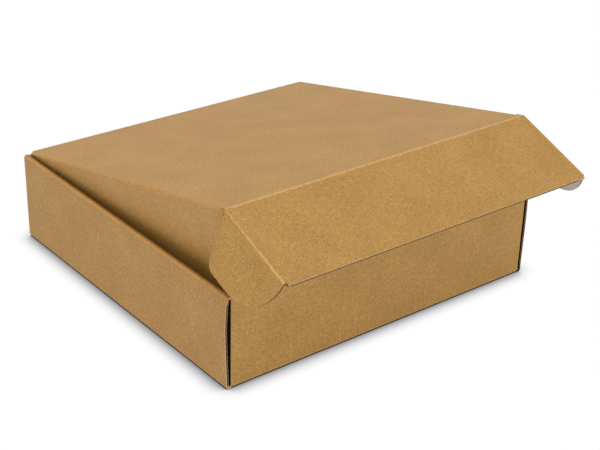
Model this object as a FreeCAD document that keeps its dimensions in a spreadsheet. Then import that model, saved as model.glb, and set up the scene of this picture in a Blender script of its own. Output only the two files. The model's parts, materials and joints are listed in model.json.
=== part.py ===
"""Corrugated mailer box, folded from one die-cut sheet of thin corrugated board.

The origin is the middle of the underside. +X is to the box's right, +Y is to the
back, where the lid is hinged, and +Z is up. Lengths are in millimetres.

The sheet is split only where a flap swings: the base, the lid with its two side
flaps, the tuck flap, and the tuck flap's two ears. A folding crease is a round
edge on one panel that turns in front of the square edge of the next.
"""
import FreeCAD, Part
import math
import os
import Sketcher
from FreeCAD import Placement, Rotation, Vector

# Driving dimensions: name, value, what it is
DIMENSIONS = [
    ("board", 1.5, "thickness of the corrugated board"),
    ("flute_pitch", 3.3, "from one flute of the board to the next"),
    ("liner", 0.25, "thickness of the paper on each face of the board"),
    ("medium", 0.2, "thickness of the fluted paper between them"),
    ("flute_depth", 2.0, "how deep the flutes are open at a cut edge"),
    ("fold_inside", 0.4, "inside radius of a fold that stays put"),
    ("outer_width", 252.0, "base, left to right over the side walls"),
    ("outer_depth", 245.0, "base, front to back"),
    ("wall_height", 63.0, "underside to the rolled rim"),
    ("ply_gap", 0.05, "air between two plies that lie together"),
    ("tab_length", 60.0, "corner tab, from the outside of the front or back wall"),
    ("tab_rise", 0.4, "corner tab's lower edge above the floor panel"),
    ("inner_end_gap", 0.6, "end of an inner side wall to the front or back wall"),
    ("rim_notch", 0.3, "end of a front or back wall's top to the rolled rim"),
    ("front_drop", 0.3, "front wall's top edge below the rim"),
    ("lock_width", 32.0, "lock tab along the side wall"),
    ("lock_spacing", 130.0, "between the middles of a side's two lock tabs"),
    ("lock_play", 0.3, "lock tab to the edge of its slot"),
    ("lock_shy", 0.3, "lock tab's end above the underside"),
    ("lid_play", 0.25, "top of the lid's side flap to the inner side wall"),
    ("fold_slit", 0.2, "between the panels that meet at a swinging fold"),
    ("tuck_play", 0.4, "tucked flap to the inside of the front wall"),
    ("side_flap_depth", 60.0, "lid's side flap, down from the lid's outside"),
    ("side_flap_start", 1.2, "rear end of a side flap from the lid's hinge line"),
    ("side_flap_rear_taper", 8.0, "how far its rear edge leans forward"),
    ("side_flap_setback", 2.0, "front end of a side flap behind the lid's front edge"),
    ("side_flap_front_taper", 4.0, "how far its front edge leans back"),
    ("tuck_depth", 62.4, "tuck flap, from its fold line to its free edge"),
    ("ear_start", 1.5, "top of an ear's fold line from the tuck flap's fold line"),
    ("ear_length", 60.0, "lower end of an ear from the tuck flap's fold line"),
    ("ear_reach", 34.0, "how far an ear stands out from its fold line"),
    ("ear_lean", 0.33, "slope of an ear's upper edge"),
    ("ear_shoulder", 8.0, "radius of the corner at the end of that edge"),
    ("ear_round", 29.0, "radius of the ear's lower corner"),
]
LID_OPEN_DEG = 12.25
TUCK_FOLD_DEG = 34.1
EAR_FOLD_DEG = 71.0
SIDE_FLAP_LEAN_DEG = 10.0


class Size:
    """A length that carries its value and its formula on the sheet."""

    def __init__(self, value, formula):
        self.value = value
        self.formula = formula

    def __add__(self, other):
        other = as_size(other)
        return Size(self.value + other.value, f"({self.formula} + {other.formula})")

    def __sub__(self, other):
        other = as_size(other)
        return Size(self.value - other.value, f"({self.formula} - {other.formula})")

    def __mul__(self, other):
        other = as_size(other)
        return Size(self.value * other.value, f"({self.formula} * {other.formula})")

    def __truediv__(self, other):
        other = as_size(other)
        return Size(self.value / other.value, f"({self.formula} / {other.formula})")

    def __neg__(self):
        return Size(-self.value, f"(-1 * {self.formula})")


def as_size(number):
    """A plain number as a Size."""
    return number if isinstance(number, Size) else Size(float(number), str(number))


doc = FreeCAD.newDocument("mailer_box")
sheet = doc.addObject("Spreadsheet::Sheet", "sizes")
size = {}
for row, (name, value, meaning) in enumerate(DIMENSIONS, start=1):
    sheet.set(f"A{row}", meaning)
    sheet.set(f"B{row}", str(value))
    sheet.setAlias(f"B{row}", name)
    size[name] = Size(value, f"sizes.{name}")
doc.recompute()

# Places that several panels share
board = size["board"]
half_board = board / 2
inside = size["fold_inside"]
outside = board + inside
half_width = size["outer_width"] / 2
half_depth = size["outer_depth"] / 2
height = size["wall_height"]
gap = size["ply_gap"]
slit = size["fold_slit"]
tab_face = half_width - board - gap
wall_end = tab_face - outside
rim_inside = half_width - board * 3 - gap * 2
under_rim = height - board - gap
hinge_y = half_depth - half_board
hinge_z = height + half_board + slit
lid_half_width = rim_inside - size["lid_play"]
lid_length = size["outer_depth"] - board * 2 - size["tuck_play"]
lid_front = lid_length - half_board - slit
rest_on_fold = half_board + slit


def new_body(label):
    """An empty body, named for its sub-part."""
    body = doc.addObject("PartDesign::Body", label)
    body.Label = label
    return body


def mirrored(loop, across=-1, along=1):
    """The same corners on the other side of an axis, with their arcs turned over."""
    turned = across * along
    return [(x * across, y * along, *(r * turned for r in rest)) for x, y, *rest in loop]


def rectangle(left, right, low, high):
    """Corners of a rectangle."""
    return [(left, low), (right, low), (right, high), (left, high)]


def arc_through(start, end, bend):
    """Shorter arc between two points; a positive bend turns it anticlockwise."""
    radius = abs(bend)
    first, last = (start, end) if bend > 0 else (end, start)
    chord = last - first
    middle = (first + last) / 2
    reach = math.sqrt(max(radius * radius - (chord.Length / 2) ** 2, 0))
    left = Vector(-chord.y, chord.x, 0).normalize()
    centre = middle + left * reach
    start_angle = math.atan2(first.y - centre.y, first.x - centre.x)
    end_angle = math.atan2(last.y - centre.y, last.x - centre.x)
    return Part.ArcOfCircle(Part.Circle(centre, Vector(0, 0, 1), radius), start_angle, end_angle)


def draw_loop(sketch, loop):
    """Closed outline of lines and arcs, each corner and radius tied to the sheet.

    A corner is (x, y), or (x, y, radius) where an arc leads to the next corner. The
    radius is positive where the arc turns anticlockwise.
    """
    corners = [(as_size(x), as_size(y), *rest) for x, y, *rest in loop]
    points = [Vector(x.value, y.value, 0) for x, y, *rest in corners]
    edges = []
    for index, (x, y, *bend) in enumerate(corners):
        start = points[index]
        end = points[(index + 1) % len(points)]
        if bend:
            edge = sketch.addGeometry(arc_through(start, end, bend[0].value), False)
            ends = (1, 2) if bend[0].value > 0 else (2, 1)
        else:
            edge = sketch.addGeometry(Part.LineSegment(start, end), False)
            ends = (1, 2)
        edges.append((edge, *ends))
    for index, (edge, first, last) in enumerate(edges):
        following, its_first, its_last = edges[(index + 1) % len(edges)]
        sketch.addConstraint(Sketcher.Constraint("Coincident", edge, last, following, its_first))
        x, y, *bend = corners[index]
        tie(sketch, Sketcher.Constraint("DistanceX", edge, first, x.value), x)
        tie(sketch, Sketcher.Constraint("DistanceY", edge, first, y.value), y)
        if bend:
            radius = bend[0] if bend[0].value > 0 else -bend[0]
            tie(sketch, Sketcher.Constraint("Radius", edge, radius.value), radius)


def tie(sketch, constraint, length):
    """Adds a constraint whose value follows the sheet."""
    index = sketch.addConstraint(constraint)
    sketch.setExpression(f"Constraints[{index}]", length.formula)


def new_sketch(body, label, plane, offset=None):
    """Empty sketch on one of the body's own planes, or at an offset along its normal."""
    sketch = body.newObject("Sketcher::SketchObject", label)
    origin = body.Origin.OriginFeatures
    sketch.AttachmentSupport = (next(f for f in origin if f.Role == plane), "")
    sketch.MapMode = "FlatFace"
    if offset is not None:
        sketch.setExpression("AttachmentOffset.Base.z", offset.formula)
    return sketch


def outline(body, label, plane, loops, offset=None):
    """Sketch of one or more closed outlines."""
    sketch = new_sketch(body, label, plane, offset)
    for loop in loops:
        draw_loop(sketch, loop)
    return sketch


def pad(body, sketch, label, length, side="One side"):
    """Adds the sketch's outline, extruded, to the body."""
    feature = body.newObject("PartDesign::Pad", label)
    feature.Profile = sketch
    feature.SideType = side
    feature.setExpression("Length", length.formula)
    sketch.Visibility = False
    return feature


def pocket(body, sketch, label, length, side="One side", upward=False):
    """Cuts the sketch's outline out of the body."""
    feature = body.newObject("PartDesign::Pocket", label)
    feature.Profile = sketch
    feature.SideType = side
    feature.Reversed = upward
    feature.setExpression("Length", length.formula)
    sketch.Visibility = False
    return feature


def round_edge(body, label, start, length, side="Symmetric", plane="YZ_Plane"):
    """Half-round edge that turns about a swinging fold, as a bar along that fold."""
    sketch = new_sketch(body, f"{label}_outline", plane, start)
    circle = sketch.addGeometry(Part.Circle(Vector(0, 0, 0), Vector(0, 0, 1), half_board.value), False)
    sketch.addConstraint(Sketcher.Constraint("Coincident", circle, 3, -1, 1))
    tie(sketch, Sketcher.Constraint("Radius", circle, half_board.value), half_board)
    return pad(body, sketch, label, length, side)


def flute_ends(across, start, outer, inner):
    """Outlines of two neighbouring flutes where a cut edge opens them.

    start is where the first begins along the edge, and outer and inner are the
    board's two faces. across is True where the edge runs across the sketch.
    """
    facing = 1 if inner.value > outer.value else -1
    pitch = size["flute_pitch"]
    wide = pitch - size["medium"] * 1.5
    near = outer + size["liner"] * facing
    far = inner - size["liner"] * facing
    shy = size["medium"] * 0.6 * facing
    first = [(start, near), (start + wide, near), (start + wide / 2, far - shy)]
    later = start + pitch / 2
    second = [(later + wide, far), (later, far), (later + wide / 2, near + shy)]
    if facing < 0:
        first = first[::-1]
        second = second[::-1]
    if across:
        return [first, second]
    return [[(v, u) for u, v in loop[::-1]] for loop in (first, second)]


def open_flutes(body, label, plane, outlines, offset, span, along, upward=False):
    """Cuts one pair of flute ends and repeats it along the edge."""
    sketch = outline(body, f"{label}_outline", plane, outlines, offset)
    cut = pocket(body, sketch, f"{label}_cut", size["flute_depth"], upward=upward)
    pitch = size["flute_pitch"]
    repeats = body.newObject("PartDesign::LinearPattern", label)
    repeats.Originals = [cut]
    repeats.Direction = (sketch, [along])
    count = f"floor(({span.formula}) / {pitch.formula})"
    repeats.setExpression("Occurrences", count)
    repeats.setExpression("Length", f"{pitch.formula} * ({count} - 1)")
    body.Tip = repeats
    return repeats


def make_base():
    """Floor, front and back walls, rolled side walls, corner tabs and lock tabs."""
    body = new_body("box_base")
    top = under_rim
    channel = [
        (-half_depth + outside, 0),
        (half_depth - outside, 0, outside),
        (half_depth, outside),
        (half_depth, top),
        (half_depth - board, top),
        (half_depth - board, outside, -inside),
        (half_depth - outside, board),
        (-half_depth + outside, board, -inside),
        (-half_depth + board, outside),
        (-half_depth + board, top),
        (-half_depth, top),
        (-half_depth, outside, outside),
    ]
    sketch = outline(body, "floor_and_walls_outline", "YZ_Plane", [channel])
    pad(body, sketch, "floor_and_walls", wall_end * 2, "Symmetric")

    back_top = rectangle(half_depth - board, half_depth, top, height)
    front_top = rectangle(-half_depth, -half_depth + board, top, height - size["front_drop"])
    sketch = outline(body, "wall_tops_outline", "YZ_Plane", [back_top, front_top])
    pad(body, sketch, "wall_tops", (rim_inside - size["rim_notch"]) * 2, "Symmetric")

    rolled_side = [
        (wall_end, 0),
        (half_width - outside, 0, outside),
        (half_width, outside),
        (half_width, height - outside, outside),
        (half_width - outside, height),
        (rim_inside + outside, height, outside),
        (rim_inside, height - outside),
        (rim_inside + board, height - outside, -inside),
        (rim_inside + outside, height - board),
        (half_width - outside, height - board, -inside),
        (half_width - board, height - outside),
        (half_width - board, outside, -inside),
        (half_width - outside, board),
        (wall_end, board),
    ]
    sketch = outline(body, "rolled_sides_outline", "XZ_Plane", [rolled_side, mirrored(rolled_side)])
    pad(body, sketch, "rolled_sides", size["outer_depth"], "Symmetric")

    tab_end = -half_depth + size["tab_length"]
    corner_tab = [
        (wall_end, -half_depth, outside),
        (tab_face, -half_depth + outside),
        (tab_face, tab_end),
        (tab_face - board, tab_end),
        (tab_face - board, -half_depth + outside, -inside),
        (wall_end, -half_depth + board),
    ]
    four_tabs = [mirrored(corner_tab, across, along) for across in (1, -1) for along in (1, -1)]
    tab_foot = board + size["tab_rise"]
    sketch = outline(body, "corner_tabs_outline", "XY_Plane", four_tabs, tab_foot)
    pad(body, sketch, "corner_tabs", top - tab_foot)

    def locks(play, x_play):
        """Outlines at the four lock tabs, larger by the play on each side."""
        across = size["lock_width"] / 2 + play
        middle = size["lock_spacing"] / 2
        one = rectangle(rim_inside - x_play, rim_inside + board + x_play, middle - across, middle + across)
        return [mirrored(one, side, end) for side in (1, -1) for end in (1, -1)]

    sketch = outline(body, "lock_slots_outline", "XY_Plane", locks(size["lock_play"], gap * 2))
    pocket(body, sketch, "lock_slots", board * 2, upward=True)

    inner_side = rectangle(rim_inside, rim_inside + board, board + gap, height - outside)
    sketch = outline(body, "inner_sides_outline", "XZ_Plane", [inner_side, mirrored(inner_side)])
    inner_length = size["outer_depth"] - (board + size["inner_end_gap"]) * 2
    pad(body, sketch, "inner_sides", inner_length, "Symmetric")

    sketch = outline(body, "lock_tabs_outline", "XY_Plane", locks(0, 0), size["lock_shy"])
    pad(body, sketch, "lock_tabs", board * 2)

    cut_height = height - outside * 2
    right = flute_ends(False, outside, half_width, half_width - board)
    ends = right + [mirrored(loop) for loop in right]
    open_flutes(body, "front_flutes", "XZ_Plane", ends, half_depth, cut_height, "V_Axis")
    open_flutes(body, "back_flutes", "XZ_Plane", ends, -half_depth, cut_height, "V_Axis", True)
    return body


def make_lid():
    """Lid panel with a side flap folded down at each side, hinged at its rear edge."""
    body = new_body("box_lid")
    panel = rectangle(-lid_front, 0, -half_board, half_board)
    panel_width = (lid_half_width - outside) * 2
    sketch = outline(body, "panel_outline", "YZ_Plane", [panel])
    pad(body, sketch, "panel", panel_width, "Symmetric")
    round_edge(body, "hinge_edge", None, panel_width)

    lean = math.radians(SIDE_FLAP_LEAN_DEG)
    low = half_board - size["side_flap_depth"]
    middle_x = lid_half_width - outside
    shoulder = half_board - outside

    def flap_line(radius):
        """Where a face of the flap leaves its fold and where it ends, right of the middle."""
        turn_x = middle_x + radius * math.cos(lean)
        turn_z = shoulder - radius * math.sin(lean)
        return turn_x, turn_z, turn_x - (turn_z - low) * math.tan(lean)

    outer_x, outer_z, outer_low = flap_line(outside)
    inner_x, inner_z, inner_low = flap_line(inside)
    tray = [
        (inner_low, low),
        (outer_low, low),
        (outer_x, outer_z, outside),
        (middle_x, half_board),
        (-middle_x, half_board, outside),
        (-outer_x, outer_z),
        (-outer_low, low),
        (-inner_low, low),
        (-inner_x, inner_z, -inside),
        (-middle_x, -half_board),
        (middle_x, -half_board, -inside),
        (inner_x, inner_z),
    ]
    start = size["side_flap_start"]
    sketch = outline(body, "side_flaps_outline", "XZ_Plane", [tray], start)
    pad(body, sketch, "side_flaps", lid_front - start)

    below = low - board
    front = -lid_front + size["side_flap_setback"]
    front_waste = [
        (-lid_length, shoulder),
        (front, shoulder),
        (front + size["side_flap_front_taper"], below),
        (-lid_length, below),
    ]
    rear_waste = [
        (0, shoulder),
        (0, below),
        (-start - size["side_flap_rear_taper"], below),
        (-start, shoulder),
    ]
    sketch = outline(body, "flap_ends_outline", "YZ_Plane", [front_waste, rear_waste])
    pocket(body, sketch, "flap_ends", size["outer_width"] * 2, "Symmetric")
    return body


def make_tuck_flap():
    """Flap that hangs from the lid's front edge and tucks inside the front wall."""
    body = new_body("tuck_flap")
    panel = rectangle(-size["tuck_depth"], 0, -half_board, half_board)
    panel_width = (lid_half_width - rest_on_fold) * 2
    sketch = outline(body, "flap_outline", "YZ_Plane", [panel])
    pad(body, sketch, "flap", panel_width, "Symmetric")
    round_edge(body, "fold_edge", None, panel_width)

    ends = flute_ends(True, -panel_width / 2 + size["liner"], half_board, -half_board)
    span = panel_width - size["flute_pitch"]
    open_flutes(body, "free_edge_flutes", "XZ_Plane", ends, size["tuck_depth"], span, "H_Axis")
    return body


def make_ear(label, hand):
    """Rounded ear at one end of the tuck flap; hand is 1 on the right and -1 on the left."""
    body = new_body(label)
    reach = size["ear_reach"]
    shoulder = size["ear_shoulder"]
    lean = size["ear_lean"]
    top = size["ear_start"]
    slope_end = reach - shoulder * 0.67
    ear = [
        (0, -top),
        (0, -size["ear_length"]),
        (reach - size["ear_round"], -size["ear_length"], size["ear_round"]),
        (reach, -size["ear_length"] + size["ear_round"]),
        (reach, -reach * lean - shoulder * 0.71, shoulder),
        (slope_end, -slope_end * lean),
        (board, -top),
    ]
    loop = ear if hand > 0 else mirrored(ear)
    sketch = outline(body, f"{label}_outline", "XY_Plane", [loop])
    pad(body, sketch, f"{label}_panel", board, "Symmetric")
    length = size["ear_length"] - top
    round_edge(body, f"{label}_fold_edge", top, length, "One side", "XZ_Plane")
    return body


def place_parts(base, lid, tuck_flap, ears):
    """Sets each panel at its fold, turned as the box stands half open."""
    across = Vector(1, 0, 0)
    lid.Placement = Placement(Vector(0, hinge_y.value, hinge_z.value), Rotation(across, -LID_OPEN_DEG))
    at_fold = Placement(Vector(0, -lid_length.value, 0), Rotation(across, TUCK_FOLD_DEG))
    tuck_flap.Placement = lid.Placement * at_fold
    for ear, hand in ears:
        turn = Rotation(Vector(0, 1, 0), hand * EAR_FOLD_DEG)
        at_side = Placement(Vector(hand * lid_half_width.value, 0, 0), turn)
        ear.Placement = tuck_flap.Placement * at_side
    base.Placement = Placement()


def check(parts):
    """Stops if a feature failed or a sub-part isn't one sound solid."""
    for item in doc.Objects:
        if "Invalid" in item.State or "Error" in item.State:
            raise RuntimeError(f"{item.Name} did not compute: {item.State}")
    for part in parts:
        shape = part.Shape
        if shape.isNull() or not shape.isValid() or len(shape.Solids) != 1:
            raise RuntimeError(f"{part.Label} is not one valid solid")


base = make_base()
lid = make_lid()
tuck_flap = make_tuck_flap()
ear_right = make_ear("ear_right", 1)
ear_left = make_ear("ear_left", -1)
place_parts(base, lid, tuck_flap, [(ear_right, 1), (ear_left, -1)])
doc.recompute()

sub_parts = [base, lid, tuck_flap, ear_right, ear_left]
check(sub_parts)
os.makedirs("parts", exist_ok=True)
for part in sub_parts:
    part.Shape.exportStep(f"parts/{part.Label}.step")
    box = part.Shape.BoundBox
    print(part.Label, f"{part.Shape.Volume:.0f} mm3", f"z {box.ZMin:.2f} to {box.ZMax:.2f}")
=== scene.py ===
"""Looks of a corrugated mailer box that stands half open, built over its CAD frame."""

import json
import math

import bmesh
import bpy
from mathutils import Matrix, Vector


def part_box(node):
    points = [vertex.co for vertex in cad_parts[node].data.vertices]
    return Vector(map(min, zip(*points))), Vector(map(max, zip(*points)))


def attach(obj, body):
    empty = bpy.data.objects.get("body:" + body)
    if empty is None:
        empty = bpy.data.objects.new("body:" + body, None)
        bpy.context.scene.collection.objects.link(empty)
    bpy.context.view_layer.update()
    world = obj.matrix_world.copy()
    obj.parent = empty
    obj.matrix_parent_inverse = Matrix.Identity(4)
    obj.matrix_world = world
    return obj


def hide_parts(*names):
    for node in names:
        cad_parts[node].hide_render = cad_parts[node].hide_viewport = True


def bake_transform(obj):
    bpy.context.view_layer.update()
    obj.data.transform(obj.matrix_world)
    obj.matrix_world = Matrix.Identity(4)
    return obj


bl_info = {
    "name": "Corrugated mailer box",
    "version": (1, 0, 0),
    "blender": (4, 5, 0),
    "location": "View3D > Sidebar > Mailer",
    "description": "Dresses a folded mailer box in kraft board, creases and cut edges",
    "category": "Object",
}

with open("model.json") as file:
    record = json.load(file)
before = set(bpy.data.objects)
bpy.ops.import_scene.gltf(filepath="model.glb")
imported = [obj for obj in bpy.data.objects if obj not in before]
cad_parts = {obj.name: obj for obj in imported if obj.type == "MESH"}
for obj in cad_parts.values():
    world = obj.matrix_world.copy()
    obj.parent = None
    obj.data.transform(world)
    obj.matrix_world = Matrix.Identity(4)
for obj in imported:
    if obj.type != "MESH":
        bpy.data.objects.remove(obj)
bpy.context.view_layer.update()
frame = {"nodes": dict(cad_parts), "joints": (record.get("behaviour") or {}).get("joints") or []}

MM = 0.001
JOINTS = {joint["name"]: joint for joint in frame["joints"]}
HALF_WIDTH, HALF_DEPTH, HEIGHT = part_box("box_base")[1]
BOARD = 1.5 * MM
LINER = 0.1 * MM
PAPER = 0.12 * MM
FOLD_RADIUS = 1.9 * MM
POCKET_DEPTH = 2 * MM
FLAP_LENGTH = 62.4 * MM
HAIR = 0.02 * MM
PAPER_BUMP = 0.12 * MM
FIBRE_BUMP = 0.1 * MM
# Face kinds; the hollow kind is a near-black painted shade for flute voids, the corner grooves, the rim's
# inner round and the cut edge at the foot.
LINER_FACE, INNER_FACE, FOLD_FACE, CUT_FACE, PAINTED_SHADE_FACE, RIM_FACE, TORN_FACE = range(7)


# Shader maths


class Value:
    """A shader socket that can be added, scaled and compared like a number."""

    def __init__(self, surface, socket):
        self.surface = surface
        self.socket = socket

    def maths(self, operation, *others):
        """Joins this value and others in one Math node."""
        inputs = dict(enumerate((self, *others)))
        return self.surface.node("ShaderNodeMath", inputs, operation=operation)

    def __add__(self, other):
        return self.maths("ADD", other)

    def __radd__(self, other):
        return self.maths("ADD", other)

    def __sub__(self, other):
        return self.maths("SUBTRACT", other)

    def __rsub__(self, other):
        flipped = {0: other, 1: self}
        return self.surface.node("ShaderNodeMath", flipped, operation="SUBTRACT")

    def __mul__(self, other):
        return self.maths("MULTIPLY", other)

    def __rmul__(self, other):
        return self.maths("MULTIPLY", other)

    def __pow__(self, other):
        return self.maths("POWER", other)

    def __abs__(self):
        return self.maths("ABSOLUTE")

    def between(self, low, high, new_low=0.0, new_high=1.0):
        """The value's range from low to high, moved to a new range and held there."""
        inputs = {0: self, 1: low, 2: high, 3: new_low, 4: new_high}
        return self.surface.node("ShaderNodeMapRange", inputs)


class Surface:
    """One material, built node by node."""

    def __init__(self, name):
        self.material = bpy.data.materials.new(name)
        self.material.use_nodes = True
        self.tree = self.material.node_tree
        self.tree.nodes.clear()

    def node(self, kind, inputs=None, output=0, **settings):
        """Adds a node, sets it, fills or joins its sockets and returns one output."""
        made = self.tree.nodes.new(kind)
        for name, setting in settings.items():
            setattr(made, name, setting)
        for key, value in (inputs or {}).items():
            if isinstance(value, Value):
                self.tree.links.new(value.socket, made.inputs[key])
            else:
                made.inputs[key].default_value = value
        return Value(self, made.outputs[output])

    def blend_colours(self, first, second, factor):
        """Mix of two colours."""
        first, second = (
            colour if isinstance(colour, Value) else (*colour, 1) for colour in (first, second)
        )
        inputs = {0: factor, 6: first, 7: second}
        return self.node("ShaderNodeMix", inputs, output=2, data_type="RGBA")

    def noise(self, vector, scale, detail=3.0, roughness=0.55):
        """Cloudy noise between about 0.3 and 0.7."""
        inputs = {"Vector": vector, "Scale": scale, "Detail": detail, "Roughness": roughness}
        return self.node("ShaderNodeTexNoise", inputs)

    def stretched(self, vector, scale):
        """The coordinates, stretched."""
        return self.node("ShaderNodeMapping", {"Vector": vector, "Scale": scale})

    def finish(self, colour, roughness, height, depth, specular=0.5):
        """The shader and output at the end of the nodes."""
        bump = self.node("ShaderNodeBump", {"Height": height, "Strength": 1.0, "Distance": depth})
        inputs = {"Base Color": colour, "Roughness": roughness, "Specular IOR Level": specular}
        shader = self.node("ShaderNodeBsdfPrincipled", {**inputs, "Normal": bump})
        self.node_output(shader)
        return self.material

    def node_output(self, shader):
        """Joins a shader to the material's output."""
        output = self.tree.nodes.new("ShaderNodeOutputMaterial")
        self.tree.links.new(shader.socket, output.inputs["Surface"])


def liner_paper(surface, base, dark, light, speck, flute, tone=0.0):
    """Colour, height and roughness of a paper liner: cloudy tone, pulp mottle, fibres and specks.

    The sheet map runs across the flutes in x and along them in y, in metres.
    """
    flat = surface.node("ShaderNodeUVMap", uv_map="sheet")
    clouds = surface.noise(flat, 30.0, 2.0)
    mottle = surface.noise(flat, 330.0, 3.0, 0.6)
    grain = surface.noise(flat, 1150.0, 2.0, 0.6)
    fibres = surface.noise(surface.stretched(flat, (420.0, 1500.0, 1.0)), 1.0, 3.0, 0.65)
    # A wave texture of scale 1 repeats at this distance.
    wave_period = math.pi / 10
    flutes = surface.node(
        "ShaderNodeTexWave",
        {"Vector": flat, "Scale": wave_period / flute, "Distortion": 0.0},
        output=1,
        wave_type="BANDS",
        bands_direction="X",
    )
    clot = surface.noise(flat, 700.0, 1.0, 0.4)
    shade = (mottle - 0.5) * 0.75 + (grain - 0.5) * 1.6 + (clouds - 0.5) * 0.4
    shade = shade + (fibres - 0.5) * 0.3 + (flutes - 0.5) * 0.03 + tone
    deep = surface.blend_colours(base, dark, (0.0 - shade).between(0.0, 0.5))
    colour = surface.blend_colours(deep, light, shade.between(0.0, 0.5))
    colour = surface.blend_colours(colour, speck, clot.between(0.65, 0.72) * 0.45)
    colour = surface.blend_colours(colour, light, clot.between(0.34, 0.27) * 0.5)
    height = mottle * 0.5 + grain * 0.35 + fibres * 0.2 + flutes * 0.2
    roughness = mottle.between(0.3, 0.7, 0.5, 0.66)
    return colour, height, roughness


def board_surface(name, base, dark, light, speck, flute, tone=0.0):
    """The paper liner on its own."""
    surface = Surface(name)
    colour, height, roughness = liner_paper(surface, base, dark, light, speck, flute, tone)
    return surface.finish(colour, roughness, height, PAPER_BUMP)


def crease_surface(name, paper, band, pale, top_width, low_width, length):
    """The paper liner with a scuffed band where the board bends.

    The band map runs across the crease in x from its middle and along it in y, in metres.
    """
    surface = Surface(name)
    colour, height, roughness = liner_paper(surface, *paper)
    place = surface.node("ShaderNodeUVMap", uv_map="band")
    across = surface.node("ShaderNodeSeparateXYZ", {0: place})
    along = surface.node("ShaderNodeSeparateXYZ", {0: place}, output=1)
    ragged = surface.noise(place, 260.0, 3.0, 0.6)
    crumbs = surface.noise(place, 900.0, 2.0, 0.6)
    half = along.between(0.0, length, top_width / 2, low_width / 2)
    inside = (half - abs(across) + (ragged - 0.5) * (2.2 * MM)).between(-0.15 * MM, 0.4 * MM)
    worn = surface.blend_colours(band, pale, crumbs.between(0.42, 0.66))
    colour = surface.blend_colours(colour, worn, inside * crumbs.between(0.25, 0.5, 0.55, 0.95))
    return surface.finish(colour, roughness, height, PAPER_BUMP)


def cut_edge_and_shade_surface(name, pale, brown, low=0.35, high=0.65):
    """Cut edge of the board: torn fibre in two tones; also the near-black painted shade."""
    surface = Surface(name)
    flat = surface.node("ShaderNodeUVMap", uv_map="sheet")
    fibre = surface.noise(flat, 900.0, 3.0, 0.7)
    colour = surface.blend_colours(brown, pale, fibre.between(low, high))
    return surface.finish(colour, 1.0, fibre, FIBRE_BUMP, 0.05)


def raw_edge_surface(name, liner, web, side, top):
    """Raw edge of the board: a pale line where the outer liner is cut, and darker fibre behind it.

    side is where the outer liner starts across a side wall's edge, and top is its height in
    the edge of a flap.
    """
    surface = Surface(name)
    flat = surface.node("ShaderNodeUVMap", uv_map="sheet")
    across = surface.node("ShaderNodeSeparateXYZ", {0: flat})
    height = surface.node("ShaderNodeSeparateXYZ", {0: flat}, output=1)
    fibre = surface.noise(flat, 900.0, 3.0, 0.7)
    at_side = abs(across).between(side, side + LINER)
    at_top = abs(height - top).between(2 * LINER, LINER)
    outer = at_side + at_top
    colour = surface.blend_colours(web, liner, outer * fibre.between(0.3, 0.6, 0.6, 1.0))
    return surface.finish(colour, 1.0, fibre, FIBRE_BUMP, 0.05)


def tinted(colour, factors):
    """A colour with each part scaled."""
    return tuple(part * factor for part, factor in zip(colour, factors))


# Mesh tools


def settings():
    """The sizes and colours in the sidebar."""
    return bpy.context.scene.mailer


def choose(*objects):
    """Leaves only these objects selected."""
    bpy.ops.object.select_all(action="DESELECT")
    for piece in objects:
        piece.select_set(True)
    if objects:
        bpy.context.view_layer.objects.active = objects[0]


def skin_of(node, name):
    """A copy of a CAD panel with its loose triangles joined to one skin of flat faces."""
    source = frame["nodes"][node]
    mesh = source.data.copy()
    mesh.name = name
    piece = bpy.data.objects.new(name, mesh)
    bpy.context.scene.collection.objects.link(piece)
    choose(piece)
    bpy.ops.object.mode_set(mode="EDIT")
    bpy.ops.mesh.select_all(action="SELECT")
    bpy.ops.mesh.remove_doubles(threshold=0.002 * MM)
    bpy.ops.mesh.dissolve_limited(angle_limit=math.radians(0.4))
    bpy.ops.object.mode_set(mode="OBJECT")
    if mesh.has_custom_normals:
        bpy.ops.mesh.customdata_custom_splitnormals_clear()
    for material in list(mesh.materials):
        mesh.materials.pop()
    return piece


def smooth(piece):
    """Shades rounds smooth and keeps the sharp edges."""
    choose(piece)
    bpy.ops.object.shade_smooth_by_angle(angle=math.radians(35))


def give_surfaces(piece, sort_face, place=Matrix.Identity(4)):
    """Sorts faces by the side of the board they show, and lays the sheet map on them.

    place takes the row's frame to the panel's own, where the flutes run along y.
    """
    mesh = piece.data
    for material in settings().surfaces():
        mesh.materials.append(material)
    sheet_map = mesh.uv_layers.new(name="sheet")
    turn = place.to_3x3()
    for face in mesh.polygons:
        centre = place @ face.center
        normal = (turn @ face.normal).normalized()
        face.material_index = sort_face(centre, normal)
        across = max(range(3), key=lambda axis: abs(normal[axis]))
        for loop in face.loop_indices:
            point = place @ mesh.vertices[mesh.loops[loop].vertex_index].co
            if across == 0:
                flat = (point.z, point.y)
            elif across == 1:
                flat = (point.x, point.z)
            else:
                flat = (point.x, point.y)
            sheet_map.data[loop].uv = flat


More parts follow.
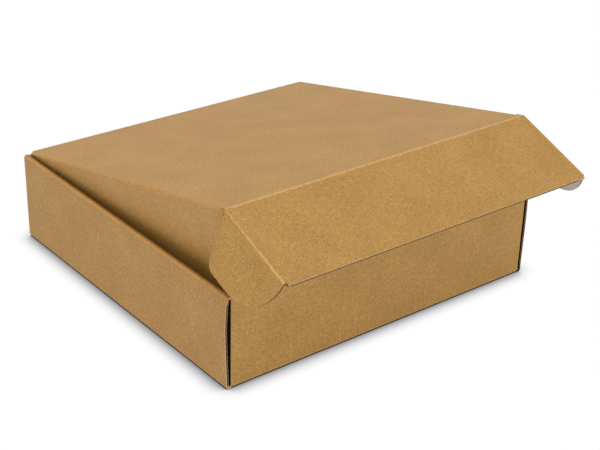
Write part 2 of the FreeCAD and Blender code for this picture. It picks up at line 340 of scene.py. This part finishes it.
def sort_base(centre, normal):
    """Which side of the sheet each face of the base shows."""
    side, end = HALF_WIDTH - abs(centre.x), HALF_DEPTH - abs(centre.y)
    rise, fall = centre.z, HEIGHT - centre.z
    square = max(abs(part) for part in normal) > 0.995
    faces_end = abs(normal.y) > 0.99
    at_end = faces_end and end < LINER / 2

    # Painted shade: the faces of the flute pockets get the near-black shade, standing in for deep flutes.
    in_pocket = LINER < side < BOARD - LINER and HAIR < end < 1.1 * POCKET_DEPTH
    if in_pocket and min(rise, fall) > FOLD_RADIUS:
        return PAINTED_SHADE_FACE
    # Painted shade: the cut edge at the foot of the side walls is dark all over.
    at_foot = side < 3.6 * MM and rise < 2 * MM
    if at_end and at_foot:
        return PAINTED_SHADE_FACE
    outer_ply = side < 1.6 * MM
    over_rim = side < 5 * MM and fall < 1.6 * MM
    if at_end and (outer_ply or over_rim):
        return CUT_FACE
    wall_top = normal.z > 0.99 and end < 1.6 * MM and fall < 2 * MM
    if wall_top:
        return CUT_FACE if centre.y < 0 else FOLD_FACE
    inner_ply_end = faces_end and 1.8 * MM < end < 2.6 * MM
    if inner_ply_end:
        return CUT_FACE
    on_rim = side < 4.7 * MM and fall < FOLD_RADIUS
    if on_rim:
        if side < FOLD_RADIUS:
            return RIM_FACE if square else FOLD_FACE
        # Painted shade: the inner round of the rolled rim gets the near-black shade, deepening the dark
        # gap next to the lid's side flap.
        return PAINTED_SHADE_FACE if normal.z < 0.93 else RIM_FACE
    if not square:
        return FOLD_FACE
    slot_wall = rise < 2 * MM and abs(normal.z) < 0.1 and 2.8 * MM < side < 5 * MM
    if slot_wall:
        return TORN_FACE
    floor_top = normal.z > 0.99 and rise < 2 * MM
    wall_inside = faces_end and end > 1 * MM and normal.y * centre.y < 0
    return INNER_FACE if floor_top or wall_inside else LINER_FACE


def sort_lid(centre, normal):
    """Which side of the sheet each face of the lid shows, in the lid's own frame."""
    flap_edge = normal.z < -0.9999 and centre.z < -10 * MM
    if flap_edge:
        return CUT_FACE
    lid_end = abs(normal.y) > 0.9 and abs(centre.y) > 2 * MM
    if lid_end:
        return TORN_FACE
    on_side_flap = centre.z < -2 * MM and abs(normal.x) > 0.9
    if on_side_flap:
        return LINER_FACE if normal.x * centre.x > 0 else INNER_FACE
    if max(abs(part) for part in normal) < 0.995:
        return FOLD_FACE
    return INNER_FACE if normal.z < -0.99 else LINER_FACE


def sort_flap(centre, normal):
    """Which side of the sheet each face of the tuck flap shows, in the flap's own frame."""
    from_edge = centre.y + FLAP_LENGTH
    # Painted shade: the faces of the flute pockets get the near-black shade, standing in for deep flutes.
    in_pocket = abs(centre.z) < 0.7 * MM and HAIR < from_edge < POCKET_DEPTH + LINER
    if in_pocket:
        return PAINTED_SHADE_FACE
    if abs(normal.z) > 0.99:
        return LINER_FACE if normal.z > 0 else INNER_FACE
    if centre.y > -1 * MM:
        return FOLD_FACE
    return CUT_FACE if normal.y < -0.9 else TORN_FACE


def ear_sorter(hand):
    """Sorts an ear's faces, in the ear's own frame."""

    def sort_ear(centre, normal):
        if abs(normal.z) > 0.99:
            return LINER_FACE if normal.z > 0 else INNER_FACE
        at_crease = hand * centre.x < 0.9 * MM and centre.y > -59 * MM and abs(normal.y) < 0.5
        return FOLD_FACE if at_crease else TORN_FACE

    return sort_ear


def panel_frames():
    """Where each swinging panel's own frame is: its matrix takes it to the row's frame."""
    lid_at = Vector(JOINTS["lid_fold"]["pos_m"])
    tuck_at = Vector(JOINTS["tuck_fold"]["pos_m"])
    rise = math.atan2(tuck_at.z - lid_at.z, lid_at.y - tuck_at.y)
    lid = Matrix.Translation(lid_at) @ Matrix.Rotation(-rise, 4, "X")
    down = -Vector(JOINTS["ear_fold_right"]["axis"])
    slope = math.atan2(-down.z, -down.y)
    tuck = Matrix.Translation(tuck_at) @ Matrix.Rotation(slope, 4, "X")
    ears = {}
    for side, hand in (("right", 1), ("left", -1)):
        at = Vector(JOINTS[f"ear_fold_{side}"]["pos_m"])
        turn = Matrix.Rotation(hand * math.radians(settings().ear_fold), 4, "Y")
        ears[side] = Matrix.Translation(at) @ tuck.to_3x3().to_4x4() @ turn
    return {"lid": lid, "tuck": tuck, "rise": rise, "slope": slope, **ears}


def cut_side_walls(piece, planes, inner):
    """Cuts the upright part of the side walls by planes, outside the given distance from the middle."""
    bpy.ops.object.mode_set(mode="EDIT")
    for point, facing in planes:
        bpy.ops.mesh.select_all(action="DESELECT")
        cage = bmesh.from_edit_mesh(piece.data)
        for face in cage.faces:
            centre = face.calc_center_median()
            upright = FOLD_RADIUS < centre.z < HEIGHT - FOLD_RADIUS
            if upright and abs(centre.x) > inner and centre.y < HALF_DEPTH - 3 * MM:
                face.select_set(True)
        bmesh.update_edit_mesh(piece.data)
        bpy.ops.mesh.bisect(plane_co=point, plane_no=facing)
    bpy.ops.object.mode_set(mode="OBJECT")


def bow_outer_plies(piece):
    """Sharpens the corner folds, lets the side walls' outer ply stand off them in front, and paints shade
    into the groove between ply and fold.
    """
    low, top = FOLD_RADIUS, HEIGHT - FOLD_RADIUS
    ply = HALF_WIDTH - BOARD - 0.03 * MM
    corner = HALF_WIDTH - BOARD - 0.05 * MM - FOLD_RADIUS
    choose(piece)
    levels = 14
    heights = [low + (top - low) * step / levels for step in range(1, levels)]
    cut_side_walls(piece, [((0, 0, z), (0, 0, 1)) for z in heights], ply)
    runs = [reach * MM - HALF_DEPTH for reach in (2.5, 5, 9, 14, 20, 28, 38, 50)]
    cut_side_walls(piece, [((0, y, 0), (0, 1, 0)) for y in runs], HALF_WIDTH - BOARD - LINER)

    bows = {-1: settings().ply_bow * MM, 1: settings().ply_bow_right * MM}
    bow_reach = 62 * MM
    tight_radius = 0.45 * MM
    for vertex in piece.data.vertices:
        x, y, z = vertex.co
        side = math.copysign(1, x)
        if abs(x) > ply and low < z < top and y < bow_reach - HALF_DEPTH:
            up = ((z - low) / (top - low)) ** 1.5
            run = 1 - (y + HALF_DEPTH) / bow_reach
            vertex.co.x += side * bows[side] * math.sin(math.pi * up) * run * run
        out, back = abs(x) - corner, HALF_DEPTH - abs(y)
        on_fold = abs(math.hypot(out, back - FOLD_RADIUS) - FOLD_RADIUS) < HAIR
        beside = out > -HAIR / 2 and back < FOLD_RADIUS + HAIR / 2
        if on_fold and beside and low - HAIR / 2 < z < top + 0.5 * MM:
            turn = math.atan2(out, FOLD_RADIUS - back)
            vertex.co.x = side * (corner + 0.25 * MM + tight_radius * math.sin(turn))
            vertex.co.y = math.copysign(HALF_DEPTH - tight_radius * (1 - math.cos(turn)), y)

    # Painted shade: the corner tab's face and the ply's inner face in the front groove get the near-black
    # shade.
    painted_groove_shade_depth = 9.1 * MM
    for face in piece.data.polygons:
        x, y, z = abs(face.center.x), face.center.y + HALF_DEPTH, face.center.z
        outward = face.normal.x * math.copysign(1, face.center.x)
        on_tab = outward > 0.3 and corner < x < ply
        on_ply = outward < -0.3 and ply < x < HALF_WIDTH - 0.3 * MM + max(bows.values())
        if low < z < top + 0.5 * MM and y < painted_groove_shade_depth and (on_tab or on_ply):
            face.material_index = PAINTED_SHADE_FACE


# Sizes and colours


class MailerSettings(bpy.types.PropertyGroup):
    """Sizes and colours that a user would change."""

    flute_pitch: bpy.props.FloatProperty(
        name="Flute pitch", description="From one flute to the next, in mm", default=3.3
    )
    ear_fold: bpy.props.FloatProperty(
        name="Ear fold", description="How far the ears are folded, in degrees", default=71.0
    )
    ply_bow: bpy.props.FloatProperty(
        name="Left bow", description="How far the left side wall bows out in front, in mm", default=1.3
    )
    ply_bow_right: bpy.props.FloatProperty(
        name="Right bow", description="How far the right side wall bows out in front, in mm", default=0.4
    )
    kraft: bpy.props.FloatVectorProperty(
        name="Kraft", description="Outside of the board", subtype="COLOR", default=(0.468, 0.244, 0.05)
    )
    kraft_dark: bpy.props.FloatVectorProperty(
        name="Kraft shade", description="Darker fibre", subtype="COLOR", default=(0.29, 0.135, 0.022)
    )
    kraft_light: bpy.props.FloatVectorProperty(
        name="Kraft light", description="Paler fibre", subtype="COLOR", default=(0.65, 0.385, 0.115)
    )
    inside: bpy.props.FloatVectorProperty(
        name="Inner liner", description="Inside of the board", subtype="COLOR", default=(0.70, 0.67, 0.675)
    )
    band: bpy.props.FloatVectorProperty(
        name="Crease", description="Scuffed paper at a crease", subtype="COLOR", default=(0.62, 0.33, 0.09)
    )

    def paper(self):
        """What the kraft liner's shader needs."""
        speck = (0.13, 0.06, 0.02)
        return self.kraft, self.kraft_dark, self.kraft_light, speck, self.flute_pitch * MM

    def wall_surface(self):
        """The liner of the walls with painted shade: a tenth darker than the lid's, standing in for less
        light on the walls.
        """
        kraft, *others = self.paper()
        # Painted shade: the walls' kraft is scaled down so that the walls come out darker than the lamps
        # alone make them.
        return board_surface("kraft_wall_shaded", tinted(kraft, (0.9, 0.91, 0.88)), *others)

    def surfaces(self):
        """The board's surfaces, in the order of the face kinds."""
        names = (
            "kraft_liner",
            "inner_liner",
            "kraft_fold",
            "cut_edge",
            "painted_shade",
            "kraft_rim",
            "torn_edge",
        )
        found = [bpy.data.materials.get(name) for name in names]
        if all(found):
            return found
        liner, inner, folded, cut, painted_shade_name, rolled, torn = names
        kraft, dark, light, speck, pitch = self.paper()
        fold = tinted(kraft, (1.04, 0.97, 0.87))
        rim = tinted(kraft, (0.66, 0.58, 0.5))
        inner_dark, inner_light, inner_speck = (0.54, 0.51, 0.49), (0.80, 0.78, 0.77), (0.3, 0.24, 0.16)
        cut_side, cut_top = HALF_WIDTH - 0.4 * MM, 0.6 * MM
        return [
            board_surface(liner, kraft, dark, light, speck, pitch),
            board_surface(inner, self.inside, inner_dark, inner_light, inner_speck, pitch),
            board_surface(folded, fold, kraft, (0.70, 0.42, 0.14), speck, pitch, 0.03),
            raw_edge_surface(cut, (0.86, 0.74, 0.56), (0.4, 0.24, 0.11), cut_side, cut_top),
            # Near-black painted shade, standing in for the dark inside flutes, grooves and gaps.
            cut_edge_and_shade_surface(painted_shade_name, (0.06, 0.028, 0.015), (0.008, 0.005, 0.004), 0.5, 0.75),
            board_surface(rolled, rim, (0.17, 0.075, 0.015), fold, speck, pitch),
            cut_edge_and_shade_surface(torn, (0.26, 0.145, 0.06), (0.1, 0.05, 0.02)),
        ]


class StageSettings(bpy.types.PropertyGroup):
    """Camera and lamps."""

    azimuth: bpy.props.FloatProperty(name="Azimuth", description="Camera, in degrees", default=-38.9024)
    elevation: bpy.props.FloatProperty(name="Elevation", description="Camera, in degrees", default=27.1274)
    roll: bpy.props.FloatProperty(name="Roll", description="Camera, in degrees", default=1.6205)
    distance: bpy.props.FloatProperty(
        name="Distance", description="Camera to target", default=0.922627, unit="LENGTH"
    )
    aim: bpy.props.FloatVectorProperty(
        name="Aim",
        description="Point at the middle of the view",
        default=(0.0, -0.031727, 0.03524),
        subtype="XYZ",
    )
    focal: bpy.props.FloatProperty(
        name="Focal length", description="In widths of the picture", default=1349.212 / 600
    )
    sky: bpy.props.FloatProperty(name="Sky", description="Strength of the even light", default=0.56)
    bounce: bpy.props.FloatProperty(name="Bounce", description="Light that the floor adds", default=0.25)
    key: bpy.props.FloatProperty(name="Key", description="Strength of the lamp", default=6.3)
    top: bpy.props.FloatProperty(name="Top", description="Strength of the top lamp", default=7.2)
    side: bpy.props.FloatProperty(name="Side", description="Strength of the side lamp", default=0.3)


# Operators


def dress(node, body, name, sorter, place=Matrix.Identity(4), shape=None):
    """Puts a finished skin in place of a CAD panel."""
    piece = skin_of(node, name)
    give_surfaces(piece, sorter, place)
    if shape:
        shape(piece)
    smooth(piece)
    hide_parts(node)
    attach(piece, body)
    return piece


def bent_strip(name, surface, place, width, flat_from, flat_to, fold, lift=0.045 * MM):
    """Paper over a swinging crease: flat, bent round the fold line at the origin, and flat again.

    In the strip's own frame the crease runs along x, the first flat lies on +y and the
    board's outside faces +z. fold is how far the second flat turns down, in radians.
    """
    radius = BOARD / 2 + lift
    choose()
    bpy.ops.mesh.primitive_grid_add(
        x_subdivisions=12, y_subdivisions=2, size=1, location=(0, flat_from / 2, radius)
    )
    strip = bpy.context.object
    strip.name = strip.data.name = name
    strip.scale = (width, flat_from, 1)
    bpy.ops.object.transform_apply(location=True, rotation=True, scale=True)
    bpy.ops.object.mode_set(mode="EDIT")
    bpy.ops.mesh.select_mode(type="EDGE")
    bpy.ops.mesh.select_all(action="DESELECT")
    cage = bmesh.from_edit_mesh(strip.data)
    for edge in cage.edges:
        if all(abs(end.co.y) < HAIR / 2 for end in edge.verts):
            edge.select_set(True)
    bmesh.update_edit_mesh(strip.data)
    steps = 8
    for _ in range(steps):
        bpy.ops.mesh.extrude_region_move()
        cage = bmesh.from_edit_mesh(strip.data)
        turn = Matrix.Rotation(fold / steps, 4, "X")
        for vertex in cage.verts:
            if vertex.select:
                vertex.co = turn @ vertex.co
        bmesh.update_edit_mesh(strip.data)
    onward = (0, -flat_to * math.cos(fold), -flat_to * math.sin(fold))
    bpy.ops.mesh.extrude_region_move(TRANSFORM_OT_translate={"value": onward})
    bpy.ops.mesh.select_all(action="SELECT")
    bpy.ops.mesh.normals_make_consistent(inside=False)
    bpy.ops.object.mode_set(mode="OBJECT")
    mesh = strip.data
    if mesh.polygons[0].normal.z < 0:
        mesh.flip_normals()
    band = mesh.uv_layers.new(name="band")
    sheet = mesh.uv_layers.new(name="sheet")
    for face in mesh.polygons:
        for loop in face.loop_indices:
            x, y, z = mesh.vertices[mesh.loops[loop].vertex_index].co
            around = math.atan2(-y, z)
            bent = min(max(around, 0.0), fold)
            past = Vector((y, z)) - Vector((-math.sin(bent), math.cos(bent))) * radius
            across = radius * (bent - fold / 2) + math.copysign(past.length, around - fold / 2)
            band.data[loop].uv = (across, x + width / 2)
            sheet.data[loop].uv = (x, -across)
    thick = strip.modifiers.new("thickness", "SOLIDIFY")
    thick.thickness = PAPER
    thick.offset = -1
    choose(strip)
    bpy.ops.object.modifier_apply(modifier="thickness")
    mesh.materials.append(surface)
    mesh.transform(place)
    smooth(strip)
    return strip


def join_panels(strip, place, fold):
    """Bakes a strip's place into its mesh; the strip is not joined to either body."""
    radius, margin = BOARD / 2, 0.1 * MM
    start = place @ Vector((0, margin, radius))
    end = place @ Vector((0, -radius * math.sin(fold) - margin, radius * math.cos(fold)))
    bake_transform(strip)


class MAILER_OT_base(bpy.types.Operator):
    """Dress the floor, the walls and the rolled sides"""

    bl_idname = "mailer.base"
    bl_label = "Base"

    def execute(self, context):
        piece = dress("box_base", "base", "base_board", sort_base, shape=bow_outer_plies)
        piece.data.materials[LINER_FACE] = settings().wall_surface()
        return {"FINISHED"}


class MAILER_OT_lid(bpy.types.Operator):
    """Dress the lid and its side flaps"""

    bl_idname = "mailer.lid"
    bl_label = "Lid"

    def execute(self, context):
        dress("box_lid", "lid", "lid_board", sort_lid, panel_frames()["lid"].inverted())
        return {"FINISHED"}


class MAILER_OT_tuck_flap(bpy.types.Operator):
    """Dress the tuck flap"""

    bl_idname = "mailer.tuck_flap"
    bl_label = "Tuck flap"

    def execute(self, context):
        dress("tuck_flap", "tuck", "tuck_board", sort_flap, panel_frames()["tuck"].inverted())
        return {"FINISHED"}


class MAILER_OT_ears(bpy.types.Operator):
    """Dress both rounded ears"""

    bl_idname = "mailer.ears"
    bl_label = "Ears"

    def execute(self, context):
        frames = panel_frames()
        for side, hand in (("right", 1), ("left", -1)):
            place = frames[side].inverted()
            dress(f"ear_{side}", f"{side}_ear", f"ear_{side}_board", ear_sorter(hand), place)
        return {"FINISHED"}


class MAILER_OT_creases(bpy.types.Operator):
    """Lay the bent paper over the swinging creases"""

    bl_idname = "mailer.creases"
    bl_label = "Creases"

    def execute(self, context):
        mailer = settings()
        frames = panel_frames()
        look = mailer.paper(), tuple(mailer.band), (0.72, 0.43, 0.15)
        wide, narrow = 2.2 * MM, 0.7 * MM
        kraft = crease_surface("crease_kraft", *look, wide, wide, 240 * MM)
        flat = 5 * MM

        at_tuck = frames["lid"] @ Matrix.Translation((0, -self.lid_length(), 0))
        fold, width = frames["rise"] + frames["slope"], 242.4 * MM
        strip = bent_strip("crease_tuck", kraft, at_tuck, width, flat, flat, fold)
        join_panels(strip, at_tuck, fold)

        at_back = Matrix.Translation(JOINTS["lid_fold"]["pos_m"]) @ Matrix.Rotation(-math.pi / 2, 4, "X")
        fold, width = math.pi / 2 - frames["rise"], 238.4 * MM
        strip = bent_strip("crease_lid", kraft, at_back, width, flat, flat, fold)
        join_panels(strip, at_back, fold)

        fold, width, lift = math.radians(mailer.ear_fold), 59.9 * MM, 0.08 * MM
        flat_from, flat_to = 4 * MM, 1.8 * MM
        middle = Matrix.Translation((0, -30.05 * MM, 0))
        for side, hand, name, bands in (
            ("right", 1, "crease_ear", (wide, narrow)),
            ("left", -1, "crease_ear_left", (narrow, wide)),
        ):
            surface = crease_surface(name, *look, *bands, 60 * MM)
            at = Matrix.Translation(JOINTS[f"ear_fold_{side}"]["pos_m"])
            quarter = Matrix.Rotation(hand * math.pi / 2, 4, "Z")
            place = at @ frames["tuck"].to_3x3().to_4x4() @ middle @ quarter
            strip = bent_strip(f"crease_ear_{side}", surface, place, width, flat_from, flat_to, fold, lift)
            join_panels(strip, place, fold)
        return {"FINISHED"}

    def lid_length(self):
        """From the lid's hinge line to the tuck flap's."""
        return (Vector(JOINTS["tuck_fold"]["pos_m"]) - Vector(JOINTS["lid_fold"]["pos_m"])).length


class MAILER_OT_stage(bpy.types.Operator):
    """Set the floor, the light and the camera"""

    bl_idname = "mailer.stage"
    bl_label = "Stage"

    def execute(self, context):
        self.lay_floor(context)
        self.light(context)
        self.aim_camera(context)
        return {"FINISHED"}

    def lay_floor(self, context):
        """Pale floor that keeps the box's shadow and is white further out."""
        choose()
        bpy.ops.mesh.primitive_grid_add(x_subdivisions=8, y_subdivisions=8, size=12)
        floor = context.object
        floor.name = "floor"
        floor.location.z = -0.2 * MM
        surface = Surface("floor_paper")
        camera_ray = surface.node("ShaderNodeLightPath")
        near = surface.node("ShaderNodeAmbientOcclusion", {"Distance": 14.5 * MM}, output=1, samples=16)
        shadow = ((1.0 - near) ** 1.5 * 2.05).between(0.0, 1.0)
        white = surface.node("ShaderNodeEmission", {"Color": (1, 1, 1, 1), "Strength": 1.0})
        dark = surface.node("ShaderNodeEmission", {"Color": (0.03, 0.028, 0.03, 1), "Strength": 1.0})
        seen = surface.node("ShaderNodeMixShader", {0: shadow, 1: white, 2: dark})
        paper = surface.node("ShaderNodeBsdfDiffuse", {"Color": (0.85, 0.85, 0.85, 1)})
        bounce = context.scene.mailer_stage.bounce
        glow = surface.node("ShaderNodeEmission", {"Color": (1, 1, 1, 1), "Strength": bounce})
        lit = surface.node("ShaderNodeAddShader", {0: paper, 1: glow})
        surface.node_output(surface.node("ShaderNodeMixShader", {0: camera_ray, 1: lit, 2: seen}))
        floor.data.materials.append(surface.material)

    def light(self, context):
        """Even white sky and three wide soft lamps: in front, above and at the left."""
        stage = context.scene.mailer_stage
        world = bpy.data.worlds.new("sky")
        context.scene.world = world
        world.use_nodes = True
        tree = world.node_tree
        background = tree.nodes["Background"]
        path = tree.nodes.new("ShaderNodeLightPath")
        seen = tree.nodes.new("ShaderNodeMath")
        seen.operation = "MAXIMUM"
        tree.links.new(path.outputs["Is Camera Ray"], seen.inputs[0])
        tree.links.new(path.outputs["Is Glossy Ray"], seen.inputs[1])
        strength = tree.nodes.new("ShaderNodeMapRange")
        strength.inputs["To Min"].default_value = stage.sky
        strength.inputs["To Max"].default_value = 1.0
        tree.links.new(seen.outputs[0], strength.inputs["Value"])
        tree.links.new(strength.outputs[0], background.inputs["Strength"])
        background.inputs["Color"].default_value = (1, 1, 1, 1)
        self.add_lamp(context, "key_lamp", (0.1, -1.6, 0.35), stage.key)
        self.add_lamp(context, "top_lamp", (-0.4, 0.0, 1.4), stage.top)
        self.add_lamp(context, "side_lamp", (-0.95, -0.6, 1.2), stage.side)
        context.scene.view_settings.view_transform = "Standard"

    def add_lamp(self, context, name, place, energy):
        """A wide soft lamp turned towards the box."""
        bpy.ops.object.light_add(type="AREA", location=place)
        lamp = context.object
        lamp.name = name
        lamp.data.shape = "SQUARE"
        lamp.data.size = 1.2
        lamp.data.energy = energy
        towards = Vector((0, 0, 50 * MM)) - lamp.location
        lamp.rotation_euler = towards.to_track_quat("-Z", "Y").to_euler()

    def aim_camera(self, context):
        """Camera at the photograph's place."""
        stage = context.scene.mailer_stage
        azimuth, elevation = math.radians(stage.azimuth), math.radians(stage.elevation)
        back = Vector(
            (
                math.sin(azimuth) * math.cos(elevation),
                -math.cos(azimuth) * math.cos(elevation),
                math.sin(elevation),
            )
        )
        data = bpy.data.cameras.new("photo_camera")
        camera = bpy.data.objects.new("photo_camera", data)
        context.scene.collection.objects.link(camera)
        right = (-back).cross(Vector((0, 0, 1))).normalized()
        up = right.cross(-back)
        turn = math.radians(stage.roll)
        level = right * math.cos(turn) + up * math.sin(turn)
        upright = up * math.cos(turn) - right * math.sin(turn)
        axes = Matrix((level, upright, back)).transposed().to_4x4()
        camera.matrix_world = Matrix.Translation(Vector(stage.aim) + back * stage.distance) @ axes
        data.sensor_width = 36
        data.lens = stage.focal * data.sensor_width
        data.clip_start = 0.01
        context.scene.camera = camera


class MAILER_PT_sidebar(bpy.types.Panel):
    """Lists the pieces of the mailer box"""

    bl_label = "Mailer box"
    bl_space_type = "VIEW_3D"
    bl_region_type = "UI"
    bl_category = "Mailer"

    def draw(self, context):
        scene = context.scene
        for group, kind in ((scene.mailer, MailerSettings), (scene.mailer_stage, StageSettings)):
            for name in kind.__annotations__:
                self.layout.prop(group, name)
        for operator in OPERATORS:
            self.layout.operator(operator.bl_idname)


OPERATORS = (
    MAILER_OT_base,
    MAILER_OT_lid,
    MAILER_OT_tuck_flap,
    MAILER_OT_ears,
    MAILER_OT_creases,
    MAILER_OT_stage,
)
CLASSES = (MailerSettings, StageSettings, *OPERATORS, MAILER_PT_sidebar)


def register():
    for cls in CLASSES:
        bpy.utils.register_class(cls)
    bpy.types.Scene.mailer = bpy.props.PointerProperty(type=MailerSettings)
    bpy.types.Scene.mailer_stage = bpy.props.PointerProperty(type=StageSettings)


def unregister():
    del bpy.types.Scene.mailer_stage
    del bpy.types.Scene.mailer
    for cls in reversed(CLASSES):
        bpy.utils.unregister_class(cls)


def main():
    """Makes every piece."""
    register()
    bpy.ops.mailer.base()
    bpy.ops.mailer.lid()
    bpy.ops.mailer.tuck_flap()
    bpy.ops.mailer.ears()
    bpy.ops.mailer.creases()
    bpy.ops.mailer.stage()


if __name__ == "__main__":
    main()
